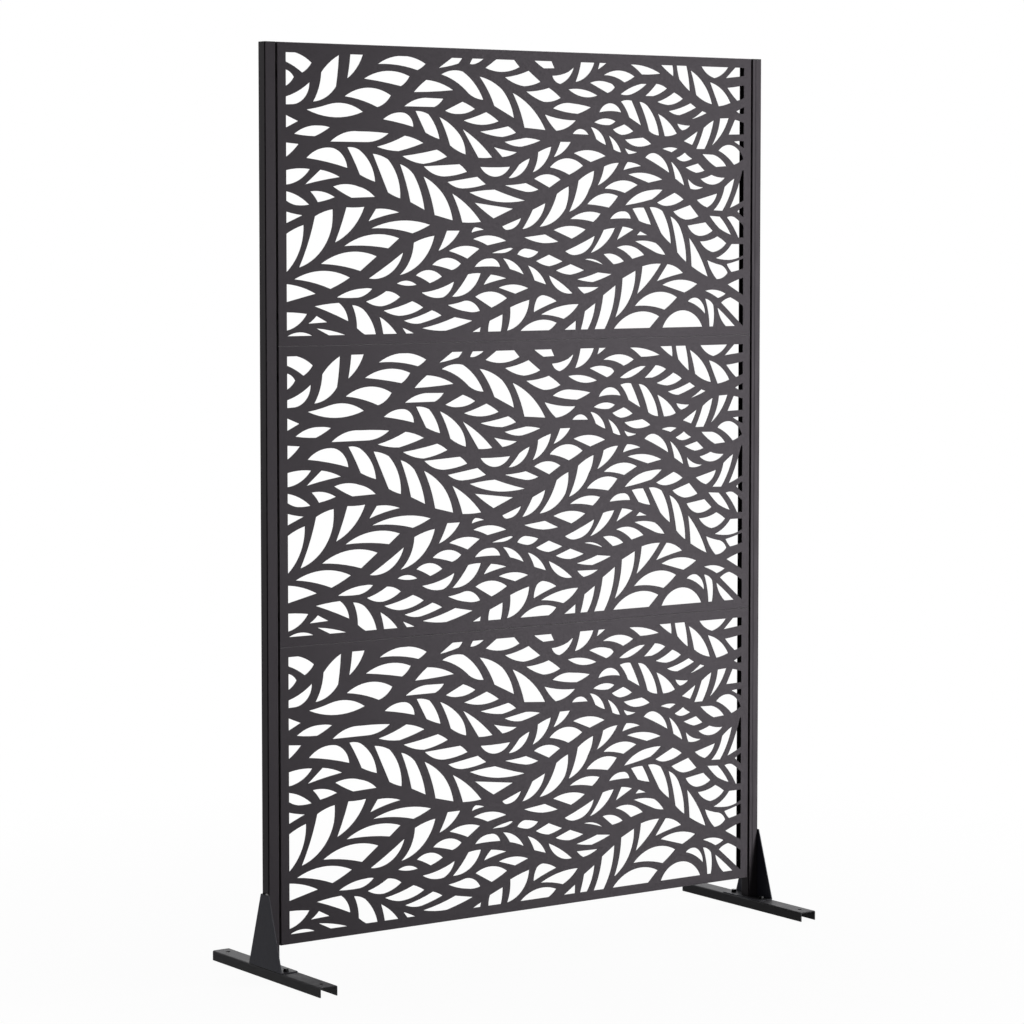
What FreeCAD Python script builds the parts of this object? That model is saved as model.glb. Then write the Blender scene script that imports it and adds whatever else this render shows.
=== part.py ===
"""Free-standing privacy screen of folded steel sheet, in millimetres.

Three stacked sheet trays with laser-cut leaves hang between two square posts.
Each post stands on a bent bracket that is bolted to an inverted U-channel foot.
+X is to the right and -Y to the front; Z = 0 is the floor, and the origin lies
midway between the posts, in the plane through their centres.
"""
import FreeCAD, Part
import math
import os

V = FreeCAD.Vector
os.makedirs("parts", exist_ok=True)

# Panels: folded trays, stacked one on another
PANEL_W = 1200.0
PANEL_H = 597.0
PANEL_D = 25.0
PANEL_NAMES = ("bottom", "middle", "top")
SHEET_T = 1.5
LIP_W = 12.0
BEND_R = 1.0
CUT_BORDER = 20.0
GROUND_GAP = 65.0

# Posts: square tube, front faces flush with the panels
POST_S = 25.0
POST_T = 1.5
POST_R = 2.0
SIDE_GAP = 3.3
CAP_T = 2.0
CAP_PLUG_L = 14.0
CAP_PLUG_T = 1.5
CAP_CLEAR = 0.15

# Feet: inverted U channels with anchor holes, and bent brackets
CHANNEL_L = 411.0
CHANNEL_W = 40.0
CHANNEL_H = 20.0
CHANNEL_T = 2.0
CHANNEL_R = 3.0
ANCHOR_D = 9.0
ANCHOR_INSET = 28.0
BRACKET_T = 2.0
BRACKET_R = 1.5
CHEEK_BASE = 124.0
CHEEK_TOP = 30.0
CHEEK_H = 149.0
FLANGE_W = 38.0
FOOT_BOLT_INSET = 15.0
WELD_L = 8.0
WELD_R = 2.0

# Fasteners
THREAD_D = 6.0
HOLE_CLEAR = 0.6
THREAD_CLEAR = 0.1
HEX_AF = 10.0
HEX_HEAD_H = 4.0
NUT_H = 5.0
WASHER_D = 12.0
WASHER_T = 1.6
BOLT_END = 3.0
SEAM_BOLT_COUNT = 3
SEAM_BOLT_MARGIN = 200.0
SIDE_SCREW_MARGIN = 60.0
RIVET_FLANGE_D = 13.0
RIVET_FLANGE_T = 1.0
RIVET_BODY_D = 9.0
RIVET_BODY_L = 12.0
SPACER_D = 14.0

# Places that follow from the sizes above
FRONT_Y = -POST_S / 2
POST_IN_X = PANEL_W / 2 + SIDE_GAP
POST_OUT_X = POST_IN_X + POST_S
FOOT_OUT_X = POST_OUT_X + BRACKET_T
SEAT_Z = CHANNEL_H + BRACKET_T
TOP_Z = GROUND_GAP + len(PANEL_NAMES) * PANEL_H
MID_Y = FRONT_Y + PANEL_D / 2
HOLE_R = (THREAD_D + HOLE_CLEAR) / 2
FOOT_BOLT_X = FOOT_OUT_X - CHANNEL_W / 2
FOOT_BOLT_Y = CHEEK_BASE / 2 - FOOT_BOLT_INSET
ANCHOR_Y = CHANNEL_L / 2 - ANCHOR_INSET
CHEEK_TOP_Z = CHANNEL_H + CHEEK_H
FOOT_BOLT_L = WASHER_T + BRACKET_T + CHANNEL_T + NUT_H + BOLT_END
SEAM_BOLT_L = 2 * SHEET_T + NUT_H + BOLT_END
SIDE_SCREW_L = WASHER_T + SHEET_T + SIDE_GAP + RIVET_BODY_L + BOLT_END
SIDES = (("left", -1), ("right", 1))

# Leaves of one panel, seen from the front, from its lower left corner.
# A leaf is a ring of corners, clockwise. Each corner has its x and y and the
# bulge of the edge that follows it: outwards above zero, hollow below it.
# Leaves at the border reach past it, and the border trims them.
LEAF_DRAWING_W = 1200.0
LEAVES_LEFT_UPPER = (
    ((14, 579, 7), (80, 558, 2), (58, 538, -2), (14, 561, 0)),
    ((14, 544, 4), (39, 529, 3), (14, 509, 0)),
    ((14, 489, -4), (75, 520, 11), (38, 476, 0), (14, 475, 0)),
    ((83, 482, -4), (102, 540, 3), (144, 575, 1), (137, 513, 7)),
    ((163, 529, -1), (171, 585, 0), (203, 585, 6)),
    ((236, 560, 16), (351, 563, 1), (331, 550, -4)),
    ((203, 530, 13), (312, 537, 2), (291, 517, -1)),
    ((157, 494, 16), (267, 498, 4), (234, 474, -3)),
    ((68, 466, -1), (118, 477, 9), (200, 464, 13)),
    ((14, 457, 0), (48, 443, 0), (14, 427, 0)),
    ((39, 418, 5), (95, 435, 1), (122, 432, 1), (87, 414, 1)),
    ((123, 404, 7), (190, 425, 1), (261, 422, 5), (205, 404, 0)),
    ((14, 401, 0), (49, 398, 2), (14, 369, 0)),
    ((67, 371, 8), (130, 391, 8), (163, 352, -2)),
    ((163, 393, 2), (190, 389, 9), (229, 325, 1), (192, 339, -1)),
    ((223, 381, 2), (260, 370, 9), (289, 292, 1), (259, 304, 0)),
    ((14, 345, 3), (75, 349, 8), (14, 318, 0)),
    ((64, 319, 0), (99, 348, 2), (145, 334, -1)),
    ((129, 315, 5), (190, 315, 3), (228, 295, 0), (172, 293, 1)),
    ((248, 450, 5), (297, 464, 7), (321, 436, -1)),
    ((233, 395, -2), (300, 418, 2), (345, 404, 1), (285, 387, 2)),
)
LEAVES_LEFT_LOWER = (
    ((14, 306, 5), (73, 279, 1), (42, 278, 2), (14, 291, 0)),
    ((76, 305, 5), (133, 294, 1), (93, 284, -1)),
    ((14, 267, -1), (57, 258, 0), (14, 240, 0)),
    ((14, 218, 2), (60, 239, 13), (14, 141, 0)),
    ((49, 155, -3), (86, 256, 2), (128, 270, 1), (126, 235, 15)),
    ((133, 204, -1), (160, 274, -1), (203, 275, 10)),
    ((212, 246, 0), (230, 271, 3), (286, 264, -2)),
    ((219, 232, 12), (361, 239, 1), (318, 222, -4)),
    ((155, 197, 15), (286, 212, 0), (260, 192, -3)),
    ((100, 162, 16), (232, 176, 0), (193, 147, -3)),
    ((38, 132, 15), (168, 134, 1), (122, 112, -3)),
    ((14, 123, 4), (87, 103, 0), (14, 86, 0)),
    ((213, 132, -1), (296, 184, 19)),
    ((287, 138, -8), (321, 203, 2), (372, 217, 17)),
    ((280, 121, 7), (328, 118, 3)),
    ((137, 95, 4), (200, 112, 1), (221, 111, 3), (188, 94, 1)),
    ((206, 86, -2), (254, 106, 3), (288, 94, 3), (245, 76, 3)),
    ((85, 78, 1), (142, 84, 5), (164, 47, -1)),
    ((173, 79, 2), (200, 70, 6), (231, 12, 0), (210, 16, 1), (184, 33, -3)),
    ((238, 55, 4), (285, 13, 0), (248, 13, -1)),
    ((14, 67, 1), (67, 63, 7), (14, 30, 0)),
    ((70, 44, -1), (89, 59, 0), (114, 46, 0)),
    ((12, 14, 13), (88, 14, 0)),
    ((89, 34, 3), (170, 15, 0), (128, 15, 0)),
    ((248, 67, -2), (317, 85, 1), (344, 72, 4), (285, 56, 2)),
    ((297, 46, -2), (365, 66, 1), (389, 55, 1), (338, 40, 3)),
    ((293, 32, 1), (330, 15, 0), (306, 15, 0)),
)
LEAVES_INNER_LEFT_UPPER = (
    ((383, 556, 0), (424, 583, 0), (444, 583, 1), (431, 566, 1)),
    ((459, 566, 1), (472, 584, 0), (500, 583, 2), (474, 567, 1)),
    ((498, 559, 0), (537, 585, 0), (563, 585, 0), (584, 563, 9)),
    ((389, 543, 5), (442, 550, 6), (493, 494, 3), (456, 506, -5)),
    ((322, 506, 1), (352, 531, 4), (418, 512, 1)),
    ((299, 477, 4), (350, 495, 0), (394, 494, 2), (372, 477, 0)),
    ((326, 468, 2), (358, 462, 4), (385, 412, 1), (350, 425, 0)),
    ((384, 457, 3), (430, 427, 5), (449, 382, 2), (410, 400, -2)),
    ((441, 434, 4), (515, 377, 1), (480, 376, 0)),
    ((398, 470, 0), (441, 489, 1), (472, 475, 3), (430, 464, 2)),
    ((444, 451, -1), (500, 469, 1), (531, 451, 2), (488, 443, 2)),
    ((485, 429, -1), (555, 441, 1), (575, 428, 1), (540, 419, 2)),
    ((546, 409, 0), (600, 418, 1), (637, 413, 1), (590, 400, 3)),
    ((519, 398, -1), (577, 388, 2), (540, 378, 0)),
    ((483, 541, 4), (540, 516, 5), (570, 458, 0), (520, 482, -3)),
    ((566, 510, 10), (650, 435, 0), (596, 439, -3)),
    ((547, 541, -2), (607, 556, 0), (637, 534, 2), (595, 524, 3)),
    ((294, 377, -1), (378, 391, 1), (403, 377, 2), (345, 362, 3)),
    ((288, 361, 3), (322, 340, 4), (348, 269, 0), (313, 285, -2)),
    ((345, 337, 3), (392, 303, 4), (417, 248, 0), (372, 259, -3)),
    ((346, 357, 0), (434, 362, 1), (452, 347, 2), (395, 337, 5)),
    ((404, 326, 0), (478, 337, 0), (499, 322, 2), (440, 313, 3)),
    ((485, 357, -1), (560, 358, 20)),
    ((556, 335, -1), (583, 363, 1), (610, 376, 12)),
    ((547, 320, -1), (600, 325, 0), (632, 312, 2), (600, 307, 1)),
)
LEAVES_INNER_LEFT_LOWER = (
    ((415, 303, 5), (487, 245, 1), (440, 244, -2)),
    ((458, 305, 1), (521, 311, -1), (597, 289, 2), (530, 286, 3)),
    ((471, 284, 0), (567, 272, 0), (518, 252, 1)),
    ((381, 186, -1), (402, 227, 0), (434, 227, 6)),
    ((326, 137, 12), (390, 134, 1), (360, 121, -1)),
    ((340, 102, -4), (420, 124, 5), (393, 92, 5)),
    ((366, 158, 13), (437, 160, 2), (414, 147, -1)),
    ((407, 186, 8), (483, 190, 0), (453, 170, -1)),
    ((463, 223, 2), (472, 234, 1), (494, 229, -1)),
    ((467, 210, 9), (550, 206, 0), (503, 197, -1)),
    ((514, 181, 1), (556, 191, 1), (567, 190, 2), (540, 181, 0)),
    ((471, 153, 5), (508, 170, 6), (535, 153, -1)),
    ((542, 170, 8), (595, 136, -1), (559, 148, -1)),
    ((415, 93, -2), (454, 138, 1), (486, 140, 15)),
    ((493, 116, 1), (511, 137, 1), (550, 129, -1)),
    ((531, 110, 7), (606, 108, 0), (573, 97, 0)),
    ((472, 92, 12), (552, 88, 1), (513, 69, 0)),
    ((404, 76, -1), (445, 84, 7), (484, 63, 2), (452, 62, 2)),
    ((341, 30, -2), (421, 51, 0), (465, 43, 1), (400, 24, 2)),
    ((455, 15, 0), (486, 30, 0), (483, 14, 0)),
    ((505, 13, 2), (508, 42, 0), (541, 55, 2), (534, 12, 0)),
    ((552, 21, -3), (560, 69, 1), (609, 84, 15)),
    ((580, 14, 16), (679, 35, 4), (640, 14, 0)),
    ((540, 236, 0), (588, 253, 6), (556, 229, 3)),
    ((591, 230, -1), (617, 270, 0), (650, 284, 13)),
    ((596, 213, 0), (649, 219, 0), (683, 204, 1), (645, 201, 2)),
    ((578, 178, 3), (598, 190, 1), (632, 183, 3), (605, 171, 1)),
)
LEAVES_INNER_RIGHT_UPPER = (
    ((601, 513, -2), (659, 522, 1), (689, 502, 3), (645, 493, 2)),
    ((669, 480, 5), (720, 491, 1), (767, 484, 1), (733, 470, 2)),
    ((648, 467, -3), (728, 456, 5), (677, 434, 2)),
    ((614, 583, 0), (662, 584, 0), (673, 563, 0), (645, 562, 1)),
    ((667, 547, -2), (708, 556, 0), (723, 566, 6), (688, 531, 4)),
    ((727, 536, -2), (742, 584, 0), (778, 584, 11)),
    ((785, 563, 0), (792, 584, 0), (815, 583, 1)),
    ((801, 552, 11), (882, 551, 1), (855, 538, -4)),
    ((872, 576, 5), (951, 559, 1), (901, 556, -1)),
    ((765, 535, 4), (815, 536, 2), (830, 527, 2), (810, 515, 0)),
    ((845, 513, 3), (900, 536, 0), (914, 536, 2), (875, 514, 2)),
    ((709, 520, 6), (784, 509, 9)),
    ((789, 474, 19), (847, 475, -3)),
    ((776, 453, 7), (832, 456, 1), (816, 448, 2)),
    ((846, 498, 2), (875, 500, 1), (900, 448, 0), (868, 465, -2)),
    ((720, 428, 11), (761, 427, 0)),
    ((767, 443, 9), (807, 406, 1), (781, 418, -1)),
    ((825, 439, 0), (855, 450, 1), (879, 436, 2), (848, 428, 2)),
    ((857, 418, 0), (905, 423, 1), (927, 410, 2), (890, 404, 3)),
    ((814, 426, 5), (847, 391, 1), (827, 397, -1)),
    ((857, 400, -1), (889, 392, 1), (866, 388, 1)),
    ((671, 379, -1), (688, 411, 0), (715, 411, 5)),
    ((617, 347, -3), (631, 389, 1), (665, 401, 10)),
    ((723, 388, 9), (806, 383, 0), (767, 370, 0)),
    ((661, 358, 17), (747, 362, 1), (711, 343, -2)),
    ((621, 334, 10), (689, 333, 0), (660, 316, 0)),
    ((785, 321, -2), (802, 361, 2), (841, 369, 6)),
    ((853, 354, 1), (864, 371, 2), (900, 363, -1)),
    ((866, 345, 8), (957, 335, 0), (920, 328, 0)),
    ((803, 315, 13), (891, 323, 0), (857, 306, -2)),
)
LEAVES_INNER_RIGHT_LOWER = (
    ((711, 266, -3), (735, 331, 2), (776, 352, 3), (763, 313, 8)),
    ((635, 235, -5), (679, 303, 1), (710, 319, 3), (702, 273, 9)),
    ((714, 251, 9), (793, 262, 1), (774, 245, -2)),
    ((671, 228, 8), (754, 229, 1), (718, 210, 0)),
    ((758, 282, 13), (839, 299, 1), (815, 275, -1)),
    ((858, 280, 7), (925, 312, 1), (958, 313, 1), (930, 293, 1)),
    ((818, 251, 5), (853, 267, 5), (873, 252, -1)),
    ((877, 273, 1), (908, 275, 1), (927, 239, 1), (895, 247, 0)),
    ((701, 184, -1), (778, 216, 9), (735, 177, 4)),
    ((767, 180, -2), (801, 228, 1), (831, 232, 9)),
    ((836, 207, 0), (851, 235, 1), (880, 229, 0)),
    ((889, 217, 0), (898, 225, 0), (917, 217, 0)),
    ((885, 204, 3), (940, 200, 2), (966, 175, 1), (940, 180, 0)),
    ((836, 191, 11), (909, 175, 0), (877, 167, -3)),
    ((752, 167, 5), (800, 155, -1)),
    ((801, 177, 7), (855, 162, 1), (827, 156, 0)),
    ((626, 164, 0), (659, 177, 0), (694, 163, 1), (660, 153, 2)),
    ((677, 144, 0), (715, 157, 0), (750, 144, 1), (715, 135, 2)),
    ((732, 125, -1), (786, 139, 0), (822, 135, 1), (773, 119, 1)),
    ((733, 109, 0), (788, 108, 2), (750, 95, 1)),
    ((605, 155, 7), (652, 115, 0), (622, 124, -1)),
    ((659, 134, 3), (720, 96, 13)),
    ((620, 58, 2), (628, 86, 2), (645, 93, 2), (679, 80, -1)),
    ((639, 53, 6), (736, 73, 3), (697, 43, -2)),
    ((690, 14, 0), (729, 39, 0), (728, 13, 0)),
    ((739, 13, -1), (752, 58, 0), (780, 75, 5), (754, 12, 0)),
    ((774, 13, -4), (800, 91, 0), (833, 112, 8), (799, 12, 0)),
    ((832, 43, -4), (851, 126, 0), (886, 142, 3), (876, 92, 5)),
    ((826, 17, 23), (950, 44, 0), (918, 14, 0)),
)
LEAVES_RIGHT_UPPER = (
    ((953, 577, 0), (984, 577, 1), (986, 554, 1)),
    ((994, 583, 1), (1020, 583, 2), (1031, 523, 1), (1002, 548, 1)),
    ((1033, 568, 10), (1092, 497, 3), (1048, 516, -1)),
    ((1060, 581, 0), (1139, 581, 5), (1098, 553, 5)),
    ((1130, 554, 0), (1160, 581, 0), (1186, 581, 0), (1186, 560, 0)),
    ((1086, 544, 8), (1143, 501, 1), (1110, 493, 0)),
    ((1134, 533, -1), (1186, 541, 0), (1186, 515, 1), (1161, 506, 1)),
    ((1159, 483, 0), (1186, 496, 0), (1186, 479, 1), (1169, 478, 0)),
    ((1138, 433, 0), (1155, 465, 1), (1186, 456, 0), (1186, 434, 0)),
    ((1153, 418, 1), (1186, 419, 0), (1186, 401, 0)),
    ((1110, 398, 6), (1150, 409, 5), (1179, 380, 1), (1153, 368, -3)),
    ((1066, 390, 0), (1096, 389, 4), (1132, 365, 0), (1103, 363, 2)),
    ((1049, 401, -1), (1069, 446, 1), (1097, 463, 3), (1072, 401, 0)),
    ((1091, 408, -4), (1114, 467, 0), (1138, 468, 6)),
    ((1015, 417, 0), (1053, 439, 1), (1038, 409, 0)),
    ((997, 454, -1), (1032, 450, 2), (1010, 440, 2)),
    ((1036, 464, -1), (1065, 482, 0), (1077, 478, 1)),
    ((974, 480, -2), (1033, 498, 0), (1048, 489, 1), (1003, 472, 2)),
    ((943, 499, -2), (988, 520, 1), (1012, 507, 3), (972, 493, 1)),
    ((911, 511, -1), (940, 537, 2), (969, 528, 2), (932, 511, 0)),
    ((895, 498, 2), (917, 490, 6), (948, 428, 2), (921, 437, -2)),
    ((945, 474, 5), (996, 433, 2), (963, 427, -1)),
    ((957, 400, 3), (998, 401, 0), (982, 393, 0)),
    ((995, 381, -1), (1018, 393, -1), (1038, 380, 1), (1016, 374, 2)),
    ((1020, 361, 0), (1054, 370, 0), (1072, 355, 1), (1048, 350, 1)),
    ((980, 374, 6), (1017, 322, 0), (992, 337, -1)),
    ((1026, 338, -5), (1068, 319, 3), (1033, 316, 1)),
    ((1061, 337, -1), (1091, 346, -2), (1128, 340, 4), (1092, 325, 3)),
    ((911, 381, 5), (942, 389, 7), (976, 349, -1)),
)
LEAVES_RIGHT_LOWER = (
    ((1097, 270, -5), (1127, 320, 1), (1155, 339, 4), (1122, 269, 0)),
    ((1142, 275, -3), (1176, 356, 0), (1186, 358, 0), (1186, 294, 1)),
    ((1163, 268, 1), (1186, 281, 0), (1186, 251, 1)),
    ((943, 286, 0), (990, 307, 1), (1015, 293, 3), (970, 279, 2)),
    ((987, 267, 0), (1033, 281, 0), (1056, 257, 2), (1020, 250, 3)),
    ((1051, 292, 0), (1107, 306, 5), (1079, 276, 2)),
    ((1026, 237, 0), (1075, 244, 0), (1095, 226, 3), (1058, 215, 5)),
    ((923, 276, 3), (958, 268, 5), (981, 198, 1), (954, 221, 0)),
    ((979, 257, 4), (1008, 229, 4), (1023, 159, 1), (998, 180, -2)),
    ((1030, 212, 5), (1082, 127, 1), (1037, 150, -1)),
    ((1080, 163, -1), (1118, 152, 3), (1137, 135, 4), (1106, 122, 3)),
    ((1086, 258, 0), (1115, 256, 2), (1146, 217, 1), (1113, 231, 1)),
    ((1134, 255, 2), (1156, 255, 2), (1186, 230, 0), (1186, 211, 0), (1166, 211, -2)),
    ((1060, 203, -3), (1108, 214, 1), (1133, 199, 4), (1095, 180, 4)),
    ((1104, 167, -4), (1147, 197, 0), (1186, 197, 0), (1186, 176, 3), (1140, 163, 1)),
    ((1134, 154, -1), (1186, 168, 0), (1186, 146, 1), (1147, 137, 1)),
    ((1137, 110, 1), (1186, 126, 0), (1186, 83, 0)),
    ((1075, 97, 5), (1132, 90, 1), (1110, 81, -1)),
    ((1119, 71, 2), (1145, 82, 2), (1186, 58, 0), (1186, 14, 0)),
    ((1109, 61, 1), (1164, 14, 0), (1140, 14, 6)),
    ((1075, 80, 3), (1098, 66, 3), (1096, 14, 0), (1087, 14, -3)),
    ((1027, 75, 4), (1055, 81, 6), (1075, 47, -4)),
    ((956, 13, 43), (1070, 13, 0)),
    ((943, 119, 0), (971, 155, 4), (1014, 136, -1)),
    ((958, 111, 10), (1053, 112, 1), (1018, 94, 0)),
    ((890, 92, -2), (904, 151, 2), (954, 156, 4)),
    ((884, 67, 20), (998, 84, 1), (964, 58, -4)),
)
LEAVES = (
    LEAVES_LEFT_UPPER + LEAVES_LEFT_LOWER
    + LEAVES_INNER_LEFT_UPPER + LEAVES_INNER_LEFT_LOWER
    + LEAVES_INNER_RIGHT_UPPER + LEAVES_INNER_RIGHT_LOWER
    + LEAVES_RIGHT_UPPER + LEAVES_RIGHT_LOWER
)
LEAST_LEAF_AREA = 20.0


def block(x0, x1, y0, y1, z0, z1):
    """Box between three pairs of planes, given in either order."""
    low = V(min(x0, x1), min(y0, y1), min(z0, z1))
    return Part.makeBox(abs(x1 - x0), abs(y1 - y0), abs(z1 - z0), low)


def rod(radius, length, start, axis):
    """Cylinder from a start point along an axis."""
    return Part.makeCylinder(radius, length, start, axis)


def round_edges(shape, radius, wanted):
    """Fillet the straight edges whose middle and direction suit `wanted`."""
    edges = []
    for edge in shape.Edges:
        first, last = edge.Vertexes[0].Point, edge.Vertexes[-1].Point
        if wanted((first + last) * 0.5, last - first):
            edges.append(edge)
    return shape.makeFillet(radius, edges)


def save(shape, node):
    """Write one node's solids."""
    shape.exportStep("parts/" + node + ".step")


def save_group(shapes, node):
    """Write identical pieces as separate solids of one node."""
    save(Part.makeCompound(shapes), node)


# Fasteners, each with its seat at the origin and its shank along +Z

def hex_prism(height, start_z):
    """Hexagon of the common spanner size."""
    reach = HEX_AF / math.sqrt(3)
    corners = []
    for step in range(7):
        angle = math.radians(60 * step)
        corners.append(V(reach * math.cos(angle), reach * math.sin(angle), start_z))
    return Part.Face(Part.makePolygon(corners)).extrude(V(0, 0, height))


def hex_bolt(length):
    """Hexagon bolt with its head behind the seat."""
    shank = rod(THREAD_D / 2, length, V(0, 0, 0), V(0, 0, 1))
    return hex_prism(HEX_HEAD_H, -HEX_HEAD_H).fuse(shank).removeSplitter()


def hex_nut():
    """Hexagon nut with a plain bore."""
    bore = rod(THREAD_D / 2 + THREAD_CLEAR, NUT_H, V(0, 0, 0), V(0, 0, 1))
    return hex_prism(NUT_H, 0).cut(bore)


def ring(outer_d, bore_d, height):
    """Flat ring: a washer or a spacer."""
    bore = rod(bore_d / 2, height, V(0, 0, 0), V(0, 0, 1))
    return rod(outer_d / 2, height, V(0, 0, 0), V(0, 0, 1)).cut(bore)


def rivet_nut():
    """Blind rivet nut: its flange lies before the seat, its body behind it."""
    flange = rod(RIVET_FLANGE_D / 2, RIVET_FLANGE_T, V(0, 0, -RIVET_FLANGE_T), V(0, 0, 1))
    body = rod(RIVET_BODY_D / 2, RIVET_BODY_L, V(0, 0, 0), V(0, 0, 1))
    bore_l = RIVET_FLANGE_T + RIVET_BODY_L
    bore = rod(THREAD_D / 2 + THREAD_CLEAR, bore_l, V(0, 0, -RIVET_FLANGE_T), V(0, 0, 1))
    return flange.fuse(body).removeSplitter().cut(bore)


def put(shape, seat, axis):
    """Copy of a fastener with its seat moved and its shank turned to an axis."""
    copy = shape.copy()
    copy.Placement = FreeCAD.Placement(seat, FreeCAD.Rotation(V(0, 0, 1), axis))
    return copy


# Panels

def leaf_face(leaf):
    """Flat face of one leaf, in a plane of constant Y."""
    edges = []
    for (x0, y0, bulge), (x1, y1, _) in zip(leaf, leaf[1:] + leaf[:1]):
        start = V(x0 - LEAF_DRAWING_W / 2, 0, y0)
        end = V(x1 - LEAF_DRAWING_W / 2, 0, y1)
        if bulge:
            across = V(start.z - end.z, 0, end.x - start.x).normalize()
            middle = (start + end) * 0.5 + across * bulge
            edges.append(Part.Arc(start, middle, end).toShape())
        else:
            edges.append(Part.makeLine(start, end))
    return Part.Face(Part.Wire(edges))


def leaf_cutters():
    """Prisms that cut the leaves, trimmed to the plain border."""
    half = PANEL_W / 2 - CUT_BORDER
    low, high = CUT_BORDER, PANEL_H - CUT_BORDER
    corners = [V(-half, 0, low), V(half, 0, low), V(half, 0, high), V(-half, 0, high)]
    field = Part.Face(Part.makePolygon(corners + corners[:1]))
    prisms = []
    for leaf in LEAVES:
        face = leaf_face(leaf)
        box = face.BoundBox
        if box.XMin < -half or box.XMax > half or box.ZMin < low or box.ZMax > high:
            face = face.common(field)
        for piece in face.Faces:
            if piece.Area > LEAST_LEAF_AREA:
                piece.translate(V(0, FRONT_Y - SHEET_T, 0))
                prisms.append(piece.extrude(V(0, 3 * SHEET_T, 0)))
    return prisms


def side_screw_heights():
    """Heights of the side screws above a panel's lower edge."""
    return (SIDE_SCREW_MARGIN, PANEL_H - SIDE_SCREW_MARGIN)


def seam_bolt_places():
    """X places of the bolts that join two panels."""
    step = (PANEL_W - 2 * SEAM_BOLT_MARGIN) / (SEAM_BOLT_COUNT - 1)
    first = SEAM_BOLT_MARGIN - PANEL_W / 2
    return [first + step * index for index in range(SEAM_BOLT_COUNT)]


def tray():
    """Folded sheet with leaves in front and return lips at the back."""
    back_y = FRONT_Y + PANEL_D
    half = PANEL_W / 2
    shell = block(-half, half, FRONT_Y, back_y, 0, PANEL_H)
    shell = round_edges(
        shell, BEND_R,
        lambda middle, along: abs(middle.y - FRONT_Y) < 0.01 and abs(along.y) < 0.01,
    )
    hollow = block(
        -half + SHEET_T, half - SHEET_T,
        FRONT_Y + SHEET_T, back_y - SHEET_T,
        SHEET_T, PANEL_H - SHEET_T,
    )
    mouth = block(
        -half + LIP_W, half - LIP_W,
        back_y - 2 * SHEET_T, back_y + SHEET_T,
        LIP_W, PANEL_H - LIP_W,
    )
    cutters = leaf_cutters()
    for height in side_screw_heights():
        cutters.append(rod(HOLE_R, PANEL_W, V(-half, MID_Y, height), V(1, 0, 0)))
    return shell.cut(hollow).cut(mouth).cut(cutters)


def seam_holes(z):
    """Drills for one row of seam bolts, through a flange at height z."""
    return [rod(HOLE_R, 4 * SHEET_T, V(x, MID_Y, z - 2 * SHEET_T), V(0, 0, 1)) for x in seam_bolt_places()]


plain_tray = tray()
last = len(PANEL_NAMES) - 1
for index, name in enumerate(PANEL_NAMES):
    drills = []
    if index > 0:
        drills += seam_holes(0)
    if index < last:
        drills += seam_holes(PANEL_H)
    shape = plain_tray.cut(drills)
    shape.translate(V(0, 0, GROUND_GAP + index * PANEL_H))
    save(shape, "panel_" + name)

# Bolts and nuts that join neighbouring panels through their flanges
for index, name in enumerate(("lower", "upper")):
    seam_z = GROUND_GAP + (index + 1) * PANEL_H
    bolts = []
    nuts = []
    for x in seam_bolt_places():
        bolts.append(put(hex_bolt(SEAM_BOLT_L), V(x, MID_Y, seam_z - SHEET_T), V(0, 0, 1)))
        nuts.append(put(hex_nut(), V(x, MID_Y, seam_z + SHEET_T), V(0, 0, 1)))
    save_group(bolts, "seam_bolts_" + name)
    save_group(nuts, "seam_nuts_" + name)


# Posts and their caps

def side_screw_levels():
    """Heights of all side screws of one post."""
    levels = []
    for index in range(len(PANEL_NAMES)):
        for height in side_screw_heights():
            levels.append(GROUND_GAP + index * PANEL_H + height)
    return levels


def upright(side, z0, z1):
    """Square bar with the post's outline and rounded corners."""
    bar = block(side * POST_IN_X, side * POST_OUT_X, FRONT_Y, -FRONT_Y, z0, z1)
    return round_edges(bar, POST_R, lambda middle, along: abs(along.z) > (z1 - z0) / 2)


def bore_bar(side, inset, z0, z1):
    """Square bar set in from the post's four sides."""
    return block(
        side * (POST_IN_X + inset), side * (POST_OUT_X - inset),
        FRONT_Y + inset, -FRONT_Y - inset, z0, z1,
    )


def post(side):
    """Square tube, drilled for the rivet nuts."""
    top = TOP_Z - CAP_T
    tube = upright(side, SEAT_Z, top).cut(bore_bar(side, POST_T, SEAT_Z, top))
    out = V(side, 0, 0)
    drills = []
    for z in side_screw_levels():
        start = V(side * (POST_IN_X - POST_T), MID_Y, z)
        drills.append(rod(RIVET_BODY_D / 2 + THREAD_CLEAR, 3 * POST_T, start, out))
    return tube.cut(drills)


def post_cap(side):
    """Moulded cap: a flat top and a hollow plug in the tube."""
    under = TOP_Z - CAP_T
    inset = POST_T + CAP_CLEAR
    plug = bore_bar(side, inset, under - CAP_PLUG_L, under)
    plug = plug.cut(bore_bar(side, inset + CAP_PLUG_T, under - CAP_PLUG_L, under))
    return upright(side, under, TOP_Z).fuse(plug).removeSplitter()


for name, side in SIDES:
    save(post(side), "post_" + name)
    save(post_cap(side), "post_cap_" + name)

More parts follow.
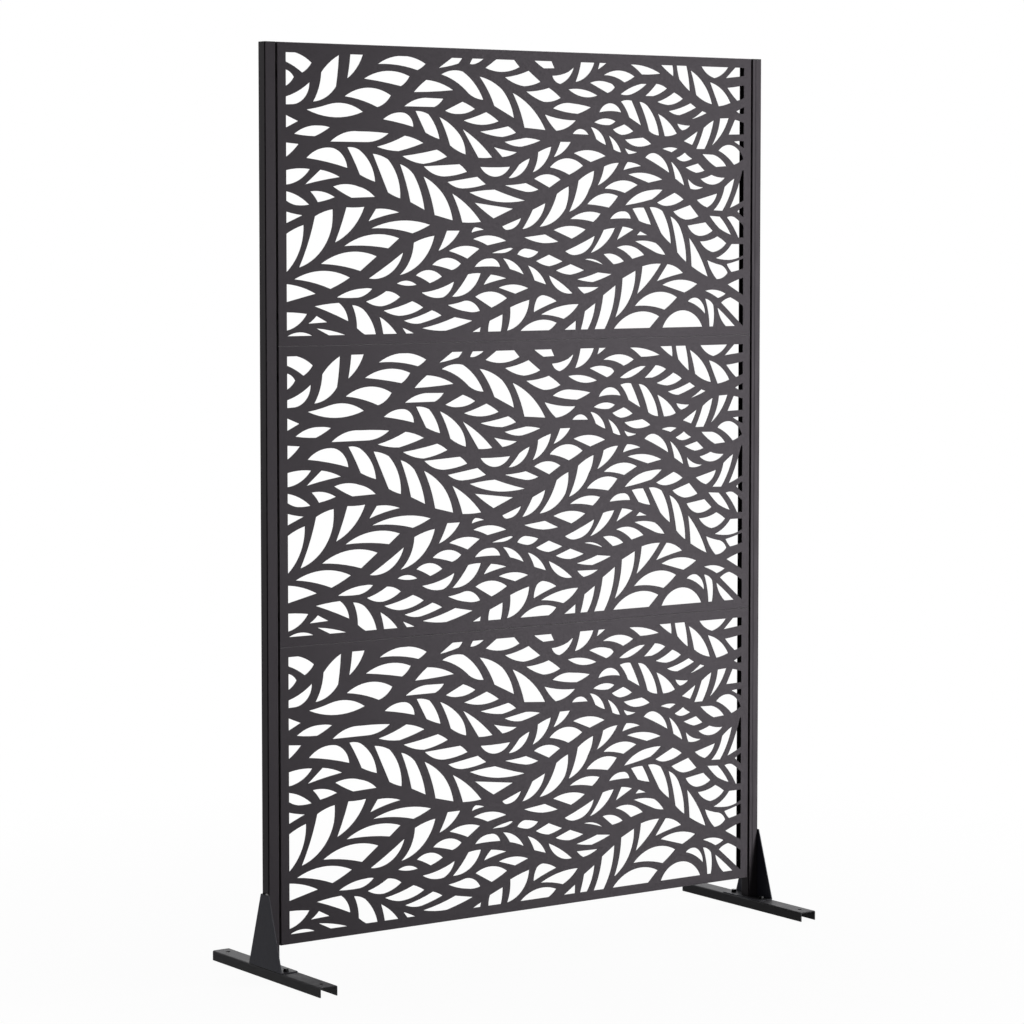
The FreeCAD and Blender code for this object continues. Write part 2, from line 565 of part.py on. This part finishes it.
# Screws from the panels' side flanges into rivet nuts in the posts
for name, side in SIDES:
    out = V(side, 0, 0)
    screws = []
    washers = []
    spacers = []
    rivet_nuts = []
    for z in side_screw_levels():
        head = V(side * (PANEL_W / 2 - SHEET_T - WASHER_T), MID_Y, z)
        screws.append(put(hex_bolt(SIDE_SCREW_L), head, out))
        washers.append(put(ring(WASHER_D, 2 * HOLE_R, WASHER_T), head, out))
        gap = ring(SPACER_D, 2 * HOLE_R, SIDE_GAP - RIVET_FLANGE_T)
        spacers.append(put(gap, V(side * PANEL_W / 2, MID_Y, z), out))
        rivet_nuts.append(put(rivet_nut(), V(side * POST_IN_X, MID_Y, z), out))
    save_group(screws, "side_screws_" + name)
    save_group(washers, "side_washers_" + name)
    save_group(spacers, "side_spacers_" + name)
    save_group(rivet_nuts, "rivet_nuts_" + name)


# Feet

def foot_channel(side):
    """Inverted U channel with anchor holes near its ends."""
    inner_x = FOOT_OUT_X - CHANNEL_W
    half = CHANNEL_L / 2
    bar = block(side * inner_x, side * FOOT_OUT_X, -half, half, 0, CHANNEL_H)
    bar = round_edges(
        bar, CHANNEL_R,
        lambda middle, along: middle.z > CHANNEL_H - 0.01 and abs(along.y) > half,
    )
    inside = block(
        side * (inner_x + CHANNEL_T), side * (FOOT_OUT_X - CHANNEL_T),
        -half, half, 0, CHANNEL_H - CHANNEL_T,
    )
    drills = []
    for y in (-ANCHOR_Y, ANCHOR_Y):
        drills.append(rod(ANCHOR_D / 2, CHANNEL_H, V(side * FOOT_BOLT_X, y, CHANNEL_T), V(0, 0, 1)))
    for y in (-FOOT_BOLT_Y, FOOT_BOLT_Y):
        drills.append(rod(HOLE_R, CHANNEL_H, V(side * FOOT_BOLT_X, y, CHANNEL_T), V(0, 0, 1)))
    return bar.cut(inside).cut(drills)


def foot_bracket(side):
    """Bent plate: a tapered cheek beside the post and a flange under it."""
    base = CHEEK_BASE / 2
    tip = CHEEK_TOP / 2
    x = side * POST_OUT_X
    corners = [
        V(x, -base, CHANNEL_H), V(x, base, CHANNEL_H),
        V(x, tip, CHEEK_TOP_Z), V(x, -tip, CHEEK_TOP_Z),
    ]
    cheek = Part.Face(Part.makePolygon(corners + corners[:1])).extrude(V(side * BRACKET_T, 0, 0))
    flange = block(
        side * (FOOT_OUT_X - FLANGE_W), side * POST_OUT_X,
        -base, base, CHANNEL_H, SEAT_Z,
    )
    plate = cheek.fuse(flange).removeSplitter()
    plate = round_edges(
        plate, BRACKET_R,
        lambda middle, along: (
            abs(middle.z - CHANNEL_H) < 0.01
            and abs(middle.x - side * FOOT_OUT_X) < 0.01
            and abs(along.y) > base
        ),
    )
    drills = []
    for y in (-FOOT_BOLT_Y, FOOT_BOLT_Y):
        drills.append(rod(HOLE_R, 2 * BRACKET_T, V(side * FOOT_BOLT_X, y, CHANNEL_H), V(0, 0, 1)))
    return plate.cut(drills)


def weld_bead(side, y0):
    """Quarter-round bead in the corner between the cheek's top edge and the post."""
    x = side * POST_OUT_X
    bar = rod(WELD_R, WELD_L, V(x, y0, CHEEK_TOP_Z), V(0, 1, 0))
    corner = block(x, x + side * WELD_R, y0, y0 + WELD_L, CHEEK_TOP_Z, CHEEK_TOP_Z + WELD_R)
    return bar.common(corner)


for name, side in SIDES:
    save(foot_channel(side), "foot_channel_" + name)
    save(foot_bracket(side), "foot_bracket_" + name)
    flat = POST_S / 2 - POST_R
    beads = [weld_bead(side, -flat), weld_bead(side, flat - WELD_L)]
    save_group(beads, "bracket_welds_" + name)
    bolts = []
    washers = []
    nuts = []
    for y in (-FOOT_BOLT_Y, FOOT_BOLT_Y):
        seat = V(side * FOOT_BOLT_X, y, SEAT_Z + WASHER_T)
        bolts.append(put(hex_bolt(FOOT_BOLT_L), seat, V(0, 0, -1)))
        washers.append(put(ring(WASHER_D, 2 * HOLE_R, WASHER_T), seat, V(0, 0, -1)))
        under_web = V(side * FOOT_BOLT_X, y, CHANNEL_H - CHANNEL_T)
        nuts.append(put(hex_nut(), under_web, V(0, 0, -1)))
    save_group(bolts, "foot_bolts_" + name)
    save_group(washers, "foot_washers_" + name)
    save_group(nuts, "foot_nuts_" + name)
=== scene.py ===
import bpy
import numpy as np
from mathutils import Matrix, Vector


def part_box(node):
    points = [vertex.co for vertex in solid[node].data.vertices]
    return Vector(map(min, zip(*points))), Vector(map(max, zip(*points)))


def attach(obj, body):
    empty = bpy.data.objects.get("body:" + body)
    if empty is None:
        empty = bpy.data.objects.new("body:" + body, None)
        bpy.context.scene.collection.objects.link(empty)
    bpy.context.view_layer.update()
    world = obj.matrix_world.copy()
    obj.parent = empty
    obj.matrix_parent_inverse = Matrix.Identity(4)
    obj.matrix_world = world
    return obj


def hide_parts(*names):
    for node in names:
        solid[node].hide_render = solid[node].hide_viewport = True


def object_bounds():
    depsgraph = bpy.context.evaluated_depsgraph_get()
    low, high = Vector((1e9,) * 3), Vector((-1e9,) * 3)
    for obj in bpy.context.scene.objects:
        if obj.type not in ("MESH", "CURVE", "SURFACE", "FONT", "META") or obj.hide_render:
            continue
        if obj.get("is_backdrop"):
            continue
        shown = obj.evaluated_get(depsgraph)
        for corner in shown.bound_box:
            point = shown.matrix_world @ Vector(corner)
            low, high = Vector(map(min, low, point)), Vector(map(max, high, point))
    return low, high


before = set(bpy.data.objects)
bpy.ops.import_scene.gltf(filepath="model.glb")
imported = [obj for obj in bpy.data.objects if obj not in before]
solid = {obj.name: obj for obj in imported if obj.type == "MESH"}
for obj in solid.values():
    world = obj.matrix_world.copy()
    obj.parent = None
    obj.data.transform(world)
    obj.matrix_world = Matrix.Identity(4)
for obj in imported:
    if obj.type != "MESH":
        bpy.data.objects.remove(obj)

cad_low, cad_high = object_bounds()


# Foot channels.
# Two inverted U channels of 2 mm steel, folded from strip, punched near each end
# for ground anchors and powder coated charcoal. They carry everything else.

# The middle part of a noise that a blend runs over, to each side of a half.
NOISE_SPREAD = 0.2

# Grains of a powder coat in lumps per metre, and the heights of the two fine ones in metres.
CLOUD_SCALE = 14.0
STREAK_SCALE = 260.0
PEEL_SCALE = 620.0
PEEL_HEIGHT = 0.00008
SPECK_SCALE = 2300.0
SPECK_HEIGHT = 0.000015
GLOSS_WANDER = 0.05


def node(tree, kind, **values):
    """Adds one shader node and sets its named input sockets."""
    made = tree.nodes.new(kind)
    for key, value in values.items():
        made.inputs[key.replace("_", " ")].default_value = value
    return made


def grain(tree, scale, detail, stretch=(1.0, 1.0, 1.0)):
    """Noise on Object coordinates, scale in lumps per metre, stretched along an axis where
    that axis has a share under 1."""
    place = tree.nodes.new("ShaderNodeTexCoord")
    turn = node(tree, "ShaderNodeMapping", Scale=stretch)
    cloud = node(tree, "ShaderNodeTexNoise", Scale=scale, Detail=detail, Roughness=0.55)
    tree.links.new(place.outputs["Object"], turn.inputs["Vector"])
    tree.links.new(turn.outputs["Vector"], cloud.inputs["Vector"])
    return cloud.outputs["Fac"]


def ranged(tree, source, start, end, low=0.0, high=1.0, eased=False):
    """Maps start to end of a source to low to high, in a straight or an eased line."""
    band = node(tree, "ShaderNodeMapRange", From_Min=start, From_Max=end, To_Min=low, To_Max=high)
    if eased:
        band.interpolation_type = "SMOOTHSTEP"
    tree.links.new(source, band.inputs["Value"])
    return band.outputs["Result"]


def between(tree, noise, low, high):
    """Maps the middle of a noise to the range low to high."""
    return ranged(tree, noise, 0.5 - NOISE_SPREAD, 0.5 + NOISE_SPREAD, low, high)


def two_tone(tree, noise, dark, light):
    """Blends two close colours over the middle of a noise."""
    ramp = tree.nodes.new("ShaderNodeValToRGB")
    ramp.color_ramp.elements[0].position = 0.5 - NOISE_SPREAD
    ramp.color_ramp.elements[1].position = 0.5 + NOISE_SPREAD
    ramp.color_ramp.elements[0].color = (*dark, 1.0)
    ramp.color_ramp.elements[1].color = (*light, 1.0)
    tree.links.new(noise, ramp.inputs["Fac"])
    return ramp.outputs["Color"]


def raised(tree, noise, height, share, under=None):
    """Turns a noise into a bump of that height in metres, over an earlier bump if given."""
    bump = node(tree, "ShaderNodeBump", Strength=share, Distance=height)
    tree.links.new(noise, bump.inputs["Height"])
    if under is not None:
        tree.links.new(under, bump.inputs["Normal"])
    return bump.outputs["Normal"]


def start_finish(name, **values):
    """An empty material with one shader joined to its output."""
    finish = bpy.data.materials.new(name)
    finish.use_nodes = True
    tree = finish.node_tree
    tree.nodes.clear()
    out = tree.nodes.new("ShaderNodeOutputMaterial")
    skin = node(tree, "ShaderNodeBsdfPrincipled", **values)
    tree.links.new(skin.outputs["BSDF"], out.inputs["Surface"])
    return finish, tree, skin


def powder_coat(name, dark, light, satin, shine, tint, draw):
    """Cured powder on steel: a slow cloud of two close greys, a fine orange-peel bump with
    smaller grains on it, and a satin gloss that wanders with streaks along the draw."""
    finish, tree, skin = start_finish(name, Specular_IOR_Level=shine, Specular_Tint=(*tint, 1.0))
    cloud = grain(tree, CLOUD_SCALE, 4.0, draw)
    streak = grain(tree, STREAK_SCALE, 2.0, draw)
    peel = raised(tree, grain(tree, PEEL_SCALE, 1.0), PEEL_HEIGHT, 0.3)
    speck = raised(tree, grain(tree, SPECK_SCALE, 2.0), SPECK_HEIGHT, 0.35, peel)
    gloss = between(tree, streak, satin - GLOSS_WANDER, satin + GLOSS_WANDER)
    tree.links.new(two_tone(tree, cloud, dark, light), skin.inputs["Base Color"])
    tree.links.new(gloss, skin.inputs["Roughness"])
    tree.links.new(speck, skin.inputs["Normal"])
    return finish, tree, skin


def dress(finish, *names):
    """Puts one finish on whole nodes."""
    for name in names:
        mesh = solid[name].data
        mesh.materials.clear()
        mesh.materials.append(finish)


foot_coat, tree, skin = powder_coat(
    "foot_coat",
    dark=(0.024, 0.023, 0.026),
    light=(0.033, 0.032, 0.036),
    satin=0.47,
    shine=0.62,
    tint=(0.97, 0.95, 1.0),
    draw=(1.0, 0.12, 1.0),
)
dress(foot_coat, "foot_channel_left", "foot_channel_right")


# Foot brackets and their welds.
# A 2 mm plate bent once: a tapered cheek up the outer side of the post and a base
# flange on the channel. Short weld beads hold the cheek's top corners to the post.

# Painted shade: a darker tone laid on the bracket's edges, bend and flange, so only the cheek's
# sides keep the paler coat.
BRACKET_PAINTED_SHADE = (0.016, 0.015, 0.017)
WELD_LONG = 0.008
WELD_RISE = 0.003
WELD_RIPPLES = 5.0
WELD_DIP = 0.13
WELD_BLUNT = 6
WELD_ROWS = 61
WELD_ROUND = 10
WELD_COAT = (0.034, 0.034, 0.038)
WELD_SPATTER = 1800.0
BARE_FADE = 0.0015


def combine(tree, operation, *terms):
    """One step of arithmetic in a shader. Each term is a socket or a plain number."""
    step = tree.nodes.new("ShaderNodeMath")
    step.operation = operation
    for index, term in enumerate(terms):
        if isinstance(term, float):
            step.inputs[index].default_value = term
        else:
            tree.links.new(term, step.inputs[index])
    return step.outputs["Value"]


def axis_of(tree, kind, axis):
    """One axis of a piece's own coordinates, or of its faces' own direction."""
    place = tree.nodes.new("ShaderNodeTexCoord")
    split = tree.nodes.new("ShaderNodeSeparateXYZ")
    tree.links.new(place.outputs[kind], split.inputs["Vector"])
    return split.outputs[axis]


def mixed(tree, share, first, second):
    """Blends two colours by a share. Each colour is a socket or a plain tone."""
    mix = tree.nodes.new("ShaderNodeMix")
    mix.data_type = "RGBA"
    tree.links.new(share, mix.inputs["Factor"])
    for key, colour in (("A", first), ("B", second)):
        if isinstance(colour, tuple):
            mix.inputs[key].default_value = (*colour, 1.0)
        else:
            tree.links.new(colour, mix.inputs[key])
    return mix.outputs["Result"]


def lay_over(tree, skin, share, tone):
    """Lays a tone over the colour that a coat already has, by a share."""
    colour = skin.inputs["Base Color"]
    tree.links.new(mixed(tree, share, colour.links[0].from_socket, tone), colour)


def paint_shade_off_axis(tree, skin, axis, start, end, tone):
    """Paints the coat over with a darker tone, a painted shade, where the face's own direction
    along an axis drops from start to end: on sheared edges, in the bend and on every face turned
    away from that axis."""
    size = combine(tree, "ABSOLUTE", axis_of(tree, "Normal", axis))
    lay_over(tree, skin, ranged(tree, size, start, end), tone)


bracket_coat, tree, skin = powder_coat(
    "bracket_coat",
    dark=(0.066, 0.066, 0.092),
    light=(0.080, 0.080, 0.110),
    satin=0.43,
    shine=0.78,
    tint=(0.90, 0.90, 1.0),
    draw=(1.0, 1.0, 0.4),
)
# Paints shade on every bracket face that does not face along X: the edges, the bend and the flange.
paint_shade_off_axis(tree, skin, "X", 0.9, 0.6, BRACKET_PAINTED_SHADE)
dress(bracket_coat, "foot_bracket_left", "foot_bracket_right")


def weld_bead(reach, corner, start):
    """A rippled fillet: a quarter ellipse in the corner between the plate's top edge and the
    post's face, as deep as the plate is thick, swept along the corner. It falls to nothing at
    both ends and swells a little at each ripple, and the corner point closes the profile."""
    along = np.linspace(0.0, 1.0, WELD_ROWS)[:, None]
    turn = np.linspace(0.0, np.pi / 2, WELD_ROUND - 1)[None, :]
    swell = 1.0 - WELD_DIP + WELD_DIP * np.abs(np.sin(np.pi * WELD_RIPPLES * along))
    full = np.sqrt(1.0 - (2.0 * along - 1.0) ** WELD_BLUNT) * swell
    x = np.hstack([corner[0] + reach * full * np.cos(turn), np.full_like(along, corner[0])])
    y = np.repeat(start + WELD_LONG * along, WELD_ROUND, axis=1)
    z = np.hstack([corner[1] + WELD_RISE * full * np.sin(turn), np.full_like(along, corner[1])])
    return np.stack([x, y, z], axis=2)


def ring_faces(rows, around, first, flip):
    """Quads of a closed tube of rows of points, wound outwards."""
    row, column = np.meshgrid(np.arange(rows - 1), np.arange(around), indexing="ij")
    a = first + row * around + column
    b = first + row * around + (column + 1) % around
    faces = np.stack([a, b, b + around, a + around], axis=2).reshape(-1, 4)
    return faces[:, ::-1] if flip else faces


def bare_weld():
    """Weld metal that is bare on the beads in front of the post's middle and coated behind it."""
    finish, tree, skin = start_finish("weld_metal")
    spatter = grain(tree, WELD_SPATTER, 3.0)
    bare = ranged(tree, axis_of(tree, "Object", "Y"), 0.0, -BARE_FADE)
    metal = two_tone(tree, spatter, (0.78, 0.77, 0.76), (0.93, 0.92, 0.91))
    tree.links.new(mixed(tree, bare, WELD_COAT, metal), skin.inputs["Base Color"])
    tree.links.new(bare, skin.inputs["Metallic"])
    tree.links.new(between(tree, spatter, 0.30, 0.42), skin.inputs["Roughness"])
    tree.links.new(raised(tree, spatter, 0.0001, 0.3), skin.inputs["Normal"])
    return finish


weld_metal = bare_weld()
for name, side in (("left", -1.0), ("right", 1.0)):
    low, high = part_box("bracket_welds_" + name)
    corner = (high.x if side < 0 else low.x, low.z)
    reach = side * (high.x - low.x)
    beads = [weld_bead(reach, corner, start) for start in (low.y, high.y - WELD_LONG)]
    points = np.vstack([bead.reshape(-1, 3) for bead in beads])
    firsts = (0, WELD_ROWS * WELD_ROUND)
    faces = np.vstack([ring_faces(WELD_ROWS, WELD_ROUND, first, side > 0) for first in firsts])
    mesh = bpy.data.meshes.new("weld_beads_" + name)
    mesh.from_pydata(points.tolist(), [], faces.tolist())
    mesh.polygons.foreach_set("use_smooth", np.ones(len(mesh.polygons), dtype=bool))
    mesh.materials.append(weld_metal)
    piece = bpy.data.objects.new("weld_beads_" + name, mesh)
    bpy.context.scene.collection.objects.link(piece)
    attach(piece, "root")
    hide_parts("bracket_welds_" + name)


# Foot bolts, washers and nuts.
# Black oxide hex bolts through flange and channel on plain washers, with plated
# nuts below the channel's web.

MOTTLE_SCALE = 900.0


def plated(name, dark, light, rough, metal):
    """Fastener finish: a mottled plating with a fine bump and a gloss that wanders with the mottle.
    """
    finish, tree, skin = start_finish(name, Metallic=metal)
    mottle = grain(tree, MOTTLE_SCALE, 3.0)
    tree.links.new(two_tone(tree, mottle, dark, light), skin.inputs["Base Color"])
    tree.links.new(between(tree, mottle, rough - 0.06, rough + 0.08), skin.inputs["Roughness"])
    tree.links.new(raised(tree, mottle, 0.00004, 0.3), skin.inputs["Normal"])
    return finish


black_bolt = plated("black_bolt", (0.006, 0.006, 0.007), (0.013, 0.013, 0.014), 0.3, 0.0)
zinc = plated("zinc", (0.46, 0.47, 0.49), (0.60, 0.61, 0.62), 0.3, 1.0)
dress(black_bolt, "foot_bolts_left", "foot_bolts_right", "foot_washers_left", "foot_washers_right")
dress(zinc, "foot_nuts_left", "foot_nuts_right")


# Posts and caps.
# Two 25 mm square steel tubes with rounded corners, standing on the brackets, each
# closed at the top by a moulded plastic cap. Plastic spacers stand between them and the panels.

POST_LINE = 0.6127
POST_LINE_HALF = 0.0011
POST_LINE_DULL = 0.25
POST_LINE_TONE = (0.020, 0.017, 0.020)
# Painted shade: a near black tone laid on the posts' rounded upright corners.
POST_CORNER_PAINTED_SHADE = (0.003, 0.002, 0.003)
SPARK_SCALE = 1500.0


def weld_line(tree, skin, tone):
    """Draws the tube's long weld as a faint dull stripe, by the distance from its place
    across the screen, on the front of the right post and the back of the left one."""
    across = axis_of(tree, "Object", "X")
    near = combine(tree, "COMPARE", combine(tree, "ABSOLUTE", across), POST_LINE, POST_LINE_HALF)
    turned = combine(tree, "MULTIPLY", across, axis_of(tree, "Object", "Y"))
    stripe = combine(tree, "MULTIPLY", near, combine(tree, "LESS_THAN", turned, 0.0))
    gloss = skin.inputs["Roughness"]
    dull = combine(tree, "MULTIPLY_ADD", stripe, POST_LINE_DULL, gloss.links[0].from_socket)
    lay_over(tree, skin, stripe, tone)
    tree.links.new(dull, gloss)


def paint_light_on_folds(tree, skin, first, second, start, end, tone):
    """Paints a tone over the coat on rounded corners and folds, where the product of the
    face's directions along two axes grows from start to end: painted light, a painted shade where
    the tone is darker than the coat and a painted highlight where it is paler."""
    both = combine(tree, "MULTIPLY", axis_of(tree, "Normal", first), axis_of(tree, "Normal", second))
    lay_over(tree, skin, ranged(tree, combine(tree, "ABSOLUTE", both), start, end), tone)


post_coat, tree, skin = powder_coat(
    "post_coat",
    dark=(0.024, 0.021, 0.024),
    light=(0.031, 0.027, 0.031),
    satin=0.36,
    shine=0.5,
    tint=(1.0, 0.90, 1.0),
    draw=(1.0, 1.0, 0.05),
)
weld_line(tree, skin, POST_LINE_TONE)
# Paints shade on the posts' rounded upright corners.
paint_light_on_folds(tree, skin, "X", "Y", 0.02, 0.12, POST_CORNER_PAINTED_SHADE)
dress(post_coat, "post_left", "post_right")


def moulded(name, dark, light):
    """Moulded plastic with a fine spark-eroded grain."""
    finish, tree, skin = start_finish(name, Specular_IOR_Level=0.5)
    spark = grain(tree, SPARK_SCALE, 3.0)
    tree.links.new(two_tone(tree, spark, dark, light), skin.inputs["Base Color"])
    tree.links.new(between(tree, spark, 0.42, 0.58), skin.inputs["Roughness"])
    tree.links.new(raised(tree, spark, 0.00008, 0.4), skin.inputs["Normal"])
    return finish


cap_plastic = moulded("cap_plastic", (0.020, 0.020, 0.021), (0.029, 0.029, 0.030))
spacer_plastic = moulded("spacer_plastic", (0.006, 0.006, 0.006), (0.011, 0.011, 0.011))
dress(cap_plastic, "post_cap_left", "post_cap_right")
dress(spacer_plastic, "side_spacers_left", "side_spacers_right")


# Panels.
# Three folded trays of 1.5 mm steel sheet, laser cut with leaves before folding and
# coated after it, with narrow return lips at the back. The level folds are painted paler, a painted
# highlight.

# Painted highlight: a pale grey laid on the panels' level folds at the seams.
FOLD_PAINTED_HIGHLIGHT = (0.24, 0.23, 0.24)

panel_coat, tree, skin = powder_coat(
    "panel_coat",
    dark=(0.024, 0.021, 0.024),
    light=(0.031, 0.027, 0.031),
    satin=0.36,
    shine=0.5,
    tint=(1.0, 0.90, 1.0),
    draw=(1.0, 1.0, 1.0),
)
# Paints the highlight on the panels' level folds.
paint_light_on_folds(tree, skin, "Y", "Z", 0.1, 0.35, FOLD_PAINTED_HIGHLIGHT)
dress(panel_coat, "panel_bottom", "panel_middle", "panel_top")


# Side screws, washers, rivet nuts and seam bolts.
# Zinc plated steel: screws through the panels' side flanges into rivet nuts in the
# posts, and bolts with nuts that join the panels' touching flanges.

dress(zinc, "rivet_nuts_left", "rivet_nuts_right", "side_screws_left", "side_screws_right",
      "side_washers_left", "side_washers_right", "seam_bolts_lower", "seam_bolts_upper",
      "seam_nuts_lower", "seam_nuts_upper")


# Floor.
# A plain white studio floor that keeps a faint shadow under the screen.

FLOOR_HALF = 60.0
FLOOR_LINES = 9


def studio_floor(half):
    """A flat square grid on the floor plane, half metres to each side."""
    line = np.linspace(-half, half, FLOOR_LINES)
    x, y = np.meshgrid(line, line)
    points = np.stack([x.ravel(), y.ravel(), np.zeros(x.size)], axis=1)
    cells = np.arange(FLOOR_LINES - 1)
    row, column = np.meshgrid(cells, cells, indexing="ij")
    first = (row * FLOOR_LINES + column).ravel()
    over = first + FLOOR_LINES
    faces = np.stack([first, first + 1, over + 1, over], axis=1)
    mesh = bpy.data.meshes.new("studio_floor")
    mesh.from_pydata(points.tolist(), [], faces.tolist())
    return mesh


floor = bpy.data.objects.new("studio_floor", studio_floor(FLOOR_HALF))
bpy.context.scene.collection.objects.link(floor)
floor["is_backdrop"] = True
floor.visible_diffuse = False
floor.visible_glossy = False
floor.visible_shadow = False
floor_paint = bpy.data.materials.new("floor_paint")
floor_paint.use_nodes = True
tree = floor_paint.node_tree
tree.nodes.clear()
matt = node(tree, "ShaderNodeBsdfDiffuse", Color=(0.86, 0.86, 0.86, 1.0))
bright = node(tree, "ShaderNodeEmission", Color=(1.0, 1.0, 1.0, 1.0), Strength=1.0)
place = tree.nodes.new("ShaderNodeTexCoord")
far = tree.nodes.new("ShaderNodeVectorMath")
far.operation = "LENGTH"
tree.links.new(place.outputs["Object"], far.inputs[0])
fade = ranged(tree, far.outputs["Value"], 0.5, 2.2, 0.955, 1.0, eased=True)
ray = tree.nodes.new("ShaderNodeLightPath")
blend = tree.nodes.new("ShaderNodeMixShader")
out = tree.nodes.new("ShaderNodeOutputMaterial")
tree.links.new(combine(tree, "MULTIPLY", ray.outputs["Is Camera Ray"], fade), blend.inputs["Fac"])
tree.links.new(matt.outputs["BSDF"], blend.inputs[1])
tree.links.new(bright.outputs["Emission"], blend.inputs[2])
tree.links.new(blend.outputs["Shader"], out.inputs["Surface"])
floor.data.materials.append(floor_paint)


# Studio light.
# A white backdrop behind the screen in a room that is dark in front, a tall soft box
# at mid height at the front right, a weak one straight in front and one overhead.

BACKDROP_WAY = (0.60, 0.78, 0.18)
world = bpy.data.worlds.new("studio")
bpy.context.scene.world = world
world.use_nodes = True
tree = world.node_tree
tree.nodes.clear()
way = tree.nodes.new("ShaderNodeTexCoord")
facing = tree.nodes.new("ShaderNodeVectorMath")
facing.operation = "DOT_PRODUCT"
facing.inputs[1].default_value = BACKDROP_WAY
tree.links.new(way.outputs["Generated"], facing.inputs[0])
depth = ranged(tree, facing.outputs["Value"], 0.0, 0.95, 0.05, 1.0, eased=True)
above = ranged(tree, axis_of(tree, "Generated", "Z"), -0.3, 0.1, 0.8, 1.0, eased=True)
behind = ranged(tree, facing.outputs["Value"], 0.75, 1.0, eased=True)
room = node(tree, "ShaderNodeBackground", Color=(1.0, 1.0, 1.0, 1.0))
white = node(tree, "ShaderNodeBackground", Color=(1.0, 1.0, 1.0, 1.0), Strength=1.0)
ray = tree.nodes.new("ShaderNodeLightPath")
mirrored = combine(tree, "MULTIPLY", behind, ray.outputs["Is Glossy Ray"])
direct = combine(tree, "MAXIMUM", ray.outputs["Is Camera Ray"], ray.outputs["Is Transmission Ray"])
blend = tree.nodes.new("ShaderNodeMixShader")
out = tree.nodes.new("ShaderNodeOutputWorld")
tree.links.new(combine(tree, "MULTIPLY", depth, above), room.inputs["Strength"])
tree.links.new(combine(tree, "MAXIMUM", direct, mirrored), blend.inputs["Fac"])
tree.links.new(room.outputs["Background"], blend.inputs[1])
tree.links.new(white.outputs["Background"], blend.inputs[2])
tree.links.new(blend.outputs["Shader"], out.inputs["Surface"])

middle = (cad_low + cad_high) / 2


def soft_box(name, place, wide, tall, power):
    """A rectangular lamp that faces the middle of the screen."""
    lamp = bpy.data.lights.new(name, "AREA")
    lamp.shape = "RECTANGLE"
    lamp.size = wide
    lamp.size_y = tall
    lamp.energy = power
    holder = bpy.data.objects.new(name, lamp)
    holder.location = place
    holder.rotation_mode = "QUATERNION"
    holder.rotation_quaternion = (middle - Vector(place)).to_track_quat("-Z", "Y")
    bpy.context.scene.collection.objects.link(holder)


soft_box("key_box", (3.55, -4.2, 0.78), wide=1.95, tall=4.0, power=84.0)
soft_box("front_box", (-0.4, -7.0, 1.3), wide=3.0, tall=3.0, power=22.0)
soft_box("top_box", (3.2, -0.4, 5.2), wide=3.0, tall=3.0, power=130.0)


# Camera.
# Stands at the screen's front left, a little above its middle, with a long lens.

CAMERA_PLACE = (-4.0256, -5.6252, 1.5039)
CAMERA_TURN = np.radians(35.407)
CAMERA_DIP = np.radians(3.889)
CAMERA_LENS = 117.18
CAMERA_RISE = -0.062
lens = bpy.data.cameras.new("camera")
lens.lens = CAMERA_LENS
lens.sensor_width = 36.0
lens.shift_y = CAMERA_RISE
camera = bpy.data.objects.new("camera", lens)
camera.location = CAMERA_PLACE
ahead = Vector((
    np.sin(CAMERA_TURN) * np.cos(CAMERA_DIP),
    np.cos(CAMERA_TURN) * np.cos(CAMERA_DIP),
    -np.sin(CAMERA_DIP),
))
camera.rotation_mode = "QUATERNION"
camera.rotation_quaternion = ahead.to_track_quat("-Z", "Y")
bpy.context.scene.collection.objects.link(camera)
bpy.context.scene.camera = camera
bpy.context.scene.view_settings.view_transform = "Standard"


# Bounds of the dressed screen.

low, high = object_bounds()
